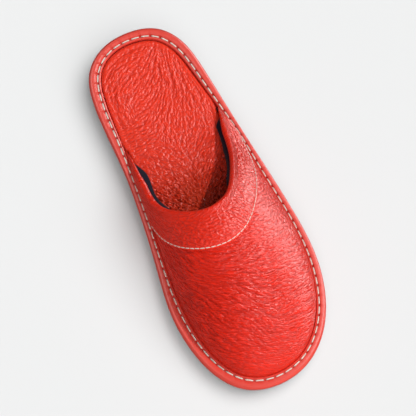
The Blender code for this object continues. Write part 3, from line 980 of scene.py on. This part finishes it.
def make_binding(material):
    """Leather binding: a roll, a channel pulled in by its stitches, and a ridge inside it."""
    section = smooth_curve(numbers(BINDING), BINDING_ROUND, closed=True)
    share, height = np.vstack([section, section[:1]]).T
    edge, rim = EDGE[AROUND], RIM[AROUND]
    flat = edge[:, None] + INWARD[AROUND][:, None] * (rim[:, None] * share)[..., None]
    level = deck(edge[:, 1])[:, None] + height
    points = np.concatenate([flat, level[..., None]], axis=2)

    along, _ = stitch_places(inset(RIM * CHANNEL)[AROUND], EDGE_STITCH["pitch"])
    across = (share - CHANNEL) * rim[:, None]
    hole = np.cos(math.pi * along)[:, None] ** 2
    pull = bell(across, CHANNEL_WIDTH) * (CHANNEL_DEPTH + HOLE_DEPTH * hole ** 6)
    swell = RIDGE_SWELL * bell(across - RIDGE_PLACE, CHANNEL_WIDTH) * (1.0 - hole)
    relief = smooth_step(height, *BINDING_TOP) * (swell - pull)
    points = points - grid_normals(points, closed=True) * relief[..., None]
    # Its relief also darkens the leather's colour in the channel and the holes: painted shade.
    body = skin(points, values={"crease": relief}, closed=True)
    return place_piece("binding", body, material, replaces=["edge_binding"])


def stitch_places(line, pitch):
    """Points of a line counted in stitches, whole at each hole, and the number of stitches."""
    length = run_length(line)
    count = int(length[-1] / pitch)
    return length / length[-1] * count, count


def stitches(name, line, normals, size, closed, material):
    """A row of thread stitches along a line, each dipping into its holes, joined in one mesh."""
    angle = np.linspace(0.0, 2.0 * math.pi, STITCH_SIDES + 1)[:, None]
    run = np.sin(np.linspace(-0.5 * math.pi, 0.5 * math.pi, STITCH_SIDES + 1))[None, :]
    radius = size["radius"] * np.maximum(1.0 - np.abs(run) ** 7, 0.0) ** 0.5
    dip = STITCH_DIP * size["radius"] * np.abs(run) ** 6
    length = 0.5 * size["length"] * run
    shape = (length, radius * np.cos(angle), STITCH_FLAT * radius * np.sin(angle) - dip)
    cut = (angle * size["radius"], length)
    shape, cut = [np.stack(np.broadcast_arrays(*parts), axis=2) for parts in (shape, cut)]
    template = mesh_from(skin(shape, cut=cut, closed=True), name + "_one")

    along, count = stitch_places(line, size["pitch"])
    middles = np.arange(count) + 0.5
    period = count if closed else None
    reach = size["reach"] * count / run_length(line)[-1]
    centres, ahead, behind = [
        look_up(middles + step, along, line, period) for step in (0.0, reach, -reach)
    ]
    tangents = unit(ahead - behind)
    up = look_up(middles, along, normals, period)
    up = unit(up - tangents * (up * tangents).sum(axis=1)[:, None])
    body = bmesh.new()
    for centre, tangent, normal in zip(centres, tangents, up):
        start = len(body.verts)
        body.from_mesh(template)
        body.verts.ensure_lookup_table()
        turn = Matrix([tangent, np.cross(normal, tangent), normal]).transposed().to_4x4()
        turn.translation = Vector(centre * MM)
        bmesh.ops.transform(body, matrix=turn, verts=body.verts[start:])
    bpy.data.meshes.remove(template)
    return place_piece(name, body, material)


def make_edge_stitches(material):
    """The row of stitches round the binding."""
    flat = inset(RIM * CHANNEL)[AROUND]
    line = np.column_stack([flat, deck(EDGE[AROUND, 1]) + EDGE_STITCH_HEIGHT])
    normals = np.broadcast_to((0.0, 0.0, 1.0), line.shape)
    return stitches("edge_stitches", line, normals, EDGE_STITCH, True, material)


def make_seam_stitches(material):
    """The single row of stitches beside the seam."""
    point, _, normal = upper_frame(SEAM_SHARES + BAND_STITCH / LENGTHS)
    line = point + normal * (BAND_GAP + BAND_THICK - SEAM_STITCH_SUNK)
    sewn = SEAM_SHARES > 0.0
    return stitches(
        "seam_stitches", line[sewn], normal[sewn], SEAM_STITCH, False, material
    )


def insole_edge():
    """Edge of the footbed: it fills the room inside the binding, and is narrower beside the upper."""
    extra = np.zeros(EDGE_POINTS)
    extra[COVERED] = WALL + GAP
    blend = np.ones(2 * INSOLE_BLEND + 1) / (2 * INSOLE_BLEND + 1)
    extra = np.convolve(np.pad(extra, INSOLE_BLEND, mode="wrap"), blend, mode="valid")
    extra[COVERED] = np.maximum(extra[COVERED], 0.8 * (WALL + GAP))
    return inset(RIM + 0.5 * GAP + extra)


def insole_plan(edge):
    """Places of the footbed's grid seen from above: a square of cells drawn out to its edge."""
    ray = (edge - INSOLE_MIDDLE) / INSOLE_SPAN
    angle = np.arctan2(ray[:, 1], ray[:, 0])
    order = np.argsort(angle)
    reach = np.linalg.norm(ray, axis=1)
    u, v = [np.linspace(-1.0, 1.0, count + 1) for count in INSOLE_CELLS]
    u = u[:, None]
    a = u * np.sqrt(1.0 - 0.5 * v * v)
    b = v * np.sqrt(1.0 - 0.5 * u * u)
    turn = np.arctan2(b, a)
    radius = np.hypot(a, b)
    limit = np.interp(turn, angle[order], reach[order], period=2.0 * math.pi)
    x = INSOLE_MIDDLE[0] + INSOLE_SPAN[0] * radius * limit * np.cos(turn)
    y = INSOLE_MIDDLE[1] + INSOLE_SPAN[1] * radius * limit * np.sin(turn)

    # Distance to the edge, from the nearest of its points.
    away = np.full(x.shape, np.inf)
    for point in edge[::4]:
        away = np.minimum(away, (x - point[0]) ** 2 + (y - point[1]) ** 2)
    away[[0, -1], :] = 0.0
    away[:, [0, -1]] = 0.0
    return x, y, np.sqrt(away)


def mound(x, y, middle_x, middle_y, half_width, half_length):
    """A soft mound of height 1, seen from above."""
    return bell(x - middle_x, half_width) * bell(y - middle_y, half_length)


def make_insole(material):
    """Crinkled leather over foam, puffed along its edge: a closed pad."""
    x, y, away = insole_plan(insole_edge())
    rise = INSOLE_PUFF * (0.65 * smooth_step(away, 0.0, 2.2) + 0.35 * smooth_step(away, 2.0, 14.0))
    hollow = SEAT_DEPTH * mound(x, y, *SEAT) + BALL_DEPTH * mound(x, y, *BALL)
    width, depth = INSOLE_TURN
    turned = depth * quarter_round(away / width)
    place, width, depth = INSOLE_CHANNEL
    channel = depth * bell(away - place, width) * smooth_step(y, 30.0, 60.0)
    inner = smooth_step(away, 1.2, 5.0)
    hide = Relief((-52, -140), (54, 140), INSOLE_FLOW, 11, cells=3.4, plump=1.9, lines=0.5, fine=0.5)
    relief = hide.heights(x, y) + main_creases(INSOLE_CREASES, x, y)
    relief = relief * (0.12 + 0.88 * inner)
    top = deck(y) + INSOLE_HEIGHT + rise - hollow - turned - channel + relief

    values = hide.values(x, y)
    values["flow_depth"] = values["flow_depth"] * (0.3 + 0.7 * inner)
    # The relief darkens the insole's colour in its creases, and the mound lays painted shade under the
    # instep.
    values.update(crease=relief, worn=mound(x, y, *INSTEP_SHADE))
    body = skin(np.stack([x, y, top], axis=2), values=values, cut=np.stack([x, y], axis=2))
    rim = [e for e in body.edges if e.is_boundary]
    for part in bmesh.ops.extrude_edge_only(body, edges=rim)["geom"]:
        if isinstance(part, bmesh.types.BMVert):
            part.co.z = (deck(part.co.y / MM) + GAP + 0.3) * MM
    floor = [e for e in body.edges if e.is_boundary]
    bmesh.ops.triangle_fill(body, edges=floor, use_beauty=True)
    bmesh.ops.recalc_face_normals(body, faces=body.faces)
    piece = place_piece("insole_pad", body, material, replaces=["insole"])
    return piece


def make_upper(material):
    """The toe piece: creased leather from the binding up to under the band, with its own thickness."""
    tops = np.clip(SEAM_SHARES + UPPER_LAP / LENGTHS, 0.0, WALL_ENDS)
    shares = np.linspace(0.0, 1.0, UPPER_ROWS + 1) ** UPPER_POWER
    points = np.stack([upper_point(tops * share) for share in shares], axis=1)
    cut = np.stack([flat_cut(tops * share) for share in shares], axis=1)
    hide = Relief((-125, -185), (125, 80), UPPER_FLOW, 21, cells=2.7, plump=1.4, lines=0.50, fine=0.46)
    relief = hide.heights(cut[..., 0], cut[..., 1])
    relief = relief + main_creases(UPPER_CREASES, points[..., 0], points[..., 1])
    length = (LENGTHS * tops)[:, None] * shares
    to_seam = (LENGTHS * SEAM_SHARES)[:, None] - length
    relief = relief * smooth_step(length, 0.5, 4.0) * smooth_step(to_seam, -0.5, 3.0)
    place, width, depth = SEAM_DIP
    normals = grid_normals(points)
    normals = normals * np.sign(normals[..., 2].mean())
    outer = points + normals * (relief - depth * bell(to_seam - place, width))[..., None]

    skirt = np.column_stack([FOOT, DECK_AT_FOOT + UPPER_FOOT])[:, None]
    rows = np.r_[0:UPPER_ROWS:UPPER_BACK, UPPER_ROWS][::-1]
    inner = points[:, rows] - normals[:, rows] * LEATHER
    inner_skirt = skirt + np.column_stack([unit(REACH) * LEATHER, np.zeros(LINES)])[:, None]
    loop = np.concatenate([skirt, outer, inner, inner_skirt, skirt], axis=1)
    backs = np.zeros((LINES, len(rows) + 2))
    cut = np.concatenate([cut[:, :1], cut, cut[:, rows], cut[:, :1], cut[:, :1]], axis=1)
    values = hide.values(cut[..., 0], cut[..., 1])
    values["crease"] = np.concatenate([backs[:, :1], relief, backs], axis=1)
    body = skin(loop, values=values, cut=cut, closed=True)
    close_ends(body)
    return place_piece("toe_piece", body, material, replaces=["upper"])


def make_lining(material):
    """Cloth lining, sewn in under the roll: it follows the toe piece and hangs loose at the sides."""
    top = upper_point(WALL_ENDS)[:, 2]
    floor = DECK_AT_FOOT + INSOLE_HEIGHT - 0.4
    inward = unit(REACH)
    reach = np.linalg.norm(REACH, axis=1)
    bulge = np.where(ANGLE < 0.0, LINING_BULGE["medial"], LINING_BULGE["lateral"])
    side = smooth_step(np.abs(ANGLE), *LINING_SIDE) * smooth_step(LENGTHS, *FULL_LENGTH)
    length, height = LINING_RIPPLE
    rings, cuts = [], []
    for share in np.linspace(0.0, 1.0, LINING_ROWS + 1)[::-1]:
        wall, _, normal = upper_frame(WALL_ENDS * share)
        wall = wall - normal * (LEATHER + LINING_GAP)
        below = top - wall[:, 2]
        lowest = smooth_step(below / np.maximum(top - floor, 1.0), 0.6, 1.0)
        loose = bulge * smooth_step(below, *LINING_LOOSE) * (1.0 - 0.75 * lowest)
        hung = FOOT + inward * (reach + loose - 0.4)[:, None]
        flat = wall[:, :2] * (1.0 - side)[:, None] + hung * side[:, None]
        place = flat_cut(WALL_ENDS * share)
        ripple = height * np.sin(place[:, 1] / length + 0.3 * share) * side
        flat = flat + inward * ripple[:, None]
        rings.append(np.column_stack([flat, np.maximum(wall[:, 2], floor)]))
        cuts.append(place)
    rings.append(np.column_stack([flat, DECK_AT_FOOT + LINING_FOOT]))
    outer = np.stack(rings, axis=1)
    cut = np.stack([*cuts, place], axis=1)
    back = np.column_stack([inward, np.zeros(LINES)])[:, None] * LINING_THICK
    loop = np.concatenate([outer, (outer - back)[:, ::-1], outer[:, :1]], axis=1)
    cut = np.concatenate([cut, cut[:, ::-1], cut[:, :1]], axis=1)
    body = skin(loop, cut=cut, closed=True)
    close_ends(body)
    piece = place_piece("lining", body, material)
    return piece


def make_band(material):
    """Collar band: puffed leather with a folded, stitched edge at the seam and a roll at the throat."""
    fullness = smooth_step(LENGTHS, *FULL_LENGTH)
    starts = np.maximum(SEAM_SHARES, 0.15 / (COLLAR[:, 2] - DECK_AT_FOOT - RIM_HEIGHT))
    starts = np.minimum(starts, WALL_ENDS - 0.02)
    hide = Relief((-100, -100), (100, 80), BAND_FLOW, 31, cells=2.7, plump=1.9, lines=0.46, fine=0.42)
    width = LENGTHS * (WALL_ENDS - starts)
    thick = (BAND_GAP + BAND_THICK) * fullness
    swell = ROLL_SWELL * fullness * smooth_step(-ANGLE, *ROLL_SIDE)
    groove_width, groove_depth = BAND_GROOVE
    rows = []
    even = np.linspace(0.0, 1.0, BAND_ROWS)
    for share in 0.5 * even + 0.25 * (1.0 - np.cos(math.pi * even)):
        t = starts + (WALL_ENDS - starts) * share
        point, _, normal = upper_frame(t)
        flat = flat_cut(t)
        along = width * share
        groove = groove_depth * bell(along - BAND_STITCH, groove_width) * (width > 8.0)
        puff = BAND_PUFF * np.sin(math.pi * share) ** 0.8 * np.clip(width / 20.0, 0.0, 1.0)
        edge = smooth_step(along, 2.0, 5.0) * (1.0 - 0.8 * smooth_step(share, 0.75, 1.0))
        relief = hide.heights(flat[:, 0], flat[:, 1]) * edge * fullness
        height = thick * (1.0 - 0.95 * quarter_round(along / BAND_FOLD))
        height = height + (puff - groove + relief) * fullness + swell * smooth_step(share, 0.45, 1.0)
        rows.append((point + normal * height[:, None], relief, flat))

    point, up, normal = upper_frame(WALL_ENDS)
    radius = ROLL_RADII[:, None]
    middle = point + up * (GAP * fullness[:, None] + radius)
    middle = middle + normal * ((thick + swell)[:, None] - radius)
    smooth = np.zeros(LINES)
    for angle in np.radians(np.linspace(*ROLL_TURN, ROLL_POINTS)):
        ring = middle + radius * (up * math.cos(angle) + normal * math.sin(angle))
        rows.append((ring, smooth, flat_cut(1.0) - 6.0))
    for share, lift in BAND_BACK:
        t = starts + (WALL_ENDS - starts) * share
        point, _, normal = upper_frame(t)
        rows.append((point + normal * (lift * fullness)[:, None], smooth, flat_cut(t)))
    points, relief, cut = [np.stack(part, axis=1) for part in zip(*rows, rows[0])]
    values = {"crease": relief, **hide.values(cut[..., 0], cut[..., 1])}
    body = skin(points, values=values, cut=cut, closed=True)
    close_ends(body)
    piece = place_piece("band", body, material, replaces=["collar_band"])
    return piece


# ---------------- studio and the camera


def aim_from(azimuth, elevation):
    """Direction toward a place seen at that azimuth (0 is ahead of the toe) and elevation, in degrees."""
    turn, tilt = math.radians(azimuth), math.radians(elevation)
    flat = math.cos(tilt)
    return Vector((math.sin(turn) * flat, -math.cos(turn) * flat, math.sin(tilt)))


def make_camera():
    """High three-quarter view with a long lens."""
    lens = bpy.data.cameras.new("camera")
    lens.lens = CAMERA_LENS
    lens.sensor_width = 36.0
    lens.clip_end = 50.0
    camera = add_thing("camera", lens)
    back = aim_from(CAMERA_AZIMUTH, CAMERA_ELEVATION)
    turn = back.to_track_quat("Z", "Y").to_matrix() @ Matrix.Rotation(CAMERA_ROLL, 3, "Z")
    place = (Vector(CAMERA_AIM) + back * CAMERA_DISTANCE) * MM
    camera.matrix_world = Matrix.Translation(place) @ turn.to_4x4()
    bpy.context.scene.camera = camera


def make_lamp(name, azimuth, elevation, energy, angle, receivers, diffuse=True, gloss=True):
    """A distant lamp that shines on the receivers only, on their diffuse and their glossy side or one."""
    data = bpy.data.lights.new(name, "SUN")
    data.energy = energy
    data.angle = math.radians(angle)
    lamp = add_thing(name, data)
    back = aim_from(azimuth, elevation)
    lamp.matrix_world = Matrix.Translation(back * 2.0) @ back.to_track_quat("Z", "Y").to_matrix().to_4x4()
    lit = bpy.data.collections.new(name + " receivers")
    for thing in receivers:
        lit.objects.link(thing)
    lamp.light_linking.receiver_collection = lit
    lamp.visible_diffuse = diffuse
    lamp.visible_glossy = gloss


def make_studio():
    """Pale floor and soft light all round."""
    body = bmesh.new()
    bmesh.ops.create_grid(body, x_segments=1, y_segments=1, size=4.0)
    mesh = mesh_from(body, "floor")
    mesh.materials.append(studio_floor())
    floor = add_thing("floor", mesh)
    floor.visible_glossy = False
    floor.visible_shadow = False

    world = bpy.data.worlds.new("studio")
    world.use_nodes = True
    sky = world.node_tree.nodes["Background"]
    sky.inputs["Color"].default_value = (1.0, 1.0, 1.0, 1.0)
    sky.inputs["Strength"].default_value = SKY
    bpy.context.scene.world = world
    bpy.context.scene.view_settings.view_transform = "Standard"
    return floor


# ---------------- build

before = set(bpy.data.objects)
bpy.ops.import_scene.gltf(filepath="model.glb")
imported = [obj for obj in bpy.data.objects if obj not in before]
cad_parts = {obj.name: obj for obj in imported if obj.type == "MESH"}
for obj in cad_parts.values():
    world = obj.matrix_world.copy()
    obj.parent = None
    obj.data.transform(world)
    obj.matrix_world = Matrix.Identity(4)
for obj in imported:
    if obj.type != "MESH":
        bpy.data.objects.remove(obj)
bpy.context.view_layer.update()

make_camera()
floor = make_studio()

binding_leather = leather("binding leather", BINDING_RED, 0.36, 0.6, pebble=0.012, scuff=0.2)
insole_leather = leather(
    "insole leather", INSOLE_RED, 0.28, 0.5, pebble=0.02, creases=1.0, worn=INSOLE_INSTEP_SHADE
)
upper_leather = leather(
    "upper leather", UPPER_RED, 0.30, 0.6, pebble=0.014, creases=1.5, lines=(1.9, 9.0)
)
band_leather = leather("band leather", BAND_RED, 0.29, 0.8, pebble=0.018, creases=1.7, lines=(1.7, 6.5))
stitch_thread = thread()

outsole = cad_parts["outsole"]
for slot in outsole.material_slots:
    slot.material = rubber()
binding = make_binding(binding_leather)
binding.visible_diffuse = False  # the floor beside it stays white

pieces = [
    outsole,
    binding,
    make_edge_stitches(stitch_thread),
    make_insole(insole_leather),
    make_upper(upper_leather),
    make_band(band_leather),
    make_lining(lining_cloth()),
    make_seam_stitches(stitch_thread),
]
make_lamp("key", 92.0, 56.0, 1.6, 3.0, pieces, gloss=False)
make_lamp("key glow", 92.0, 56.0, 1.0, 14.0, pieces, diffuse=False)
make_lamp("front softbox", 14.0, 42.0, 2.5, 90.0, pieces, gloss=False)
make_lamp("medial fill", -80.0, 30.0, 0.6, 90.0, pieces, gloss=False)
make_lamp("side softbox", 106.0, 6.0, 3.4, 52.0, pieces, diffuse=False)
make_lamp("rim glow", -138.0, 48.0, 1.2, 44.0, [binding], diffuse=False)
make_lamp("floor light", 92.0, 62.0, 2.0, 50.0, [floor])
make_lamp("floor fill", 20.0, 62.0, 3.02, 90.0, [floor])

bpy.context.view_layer.update()
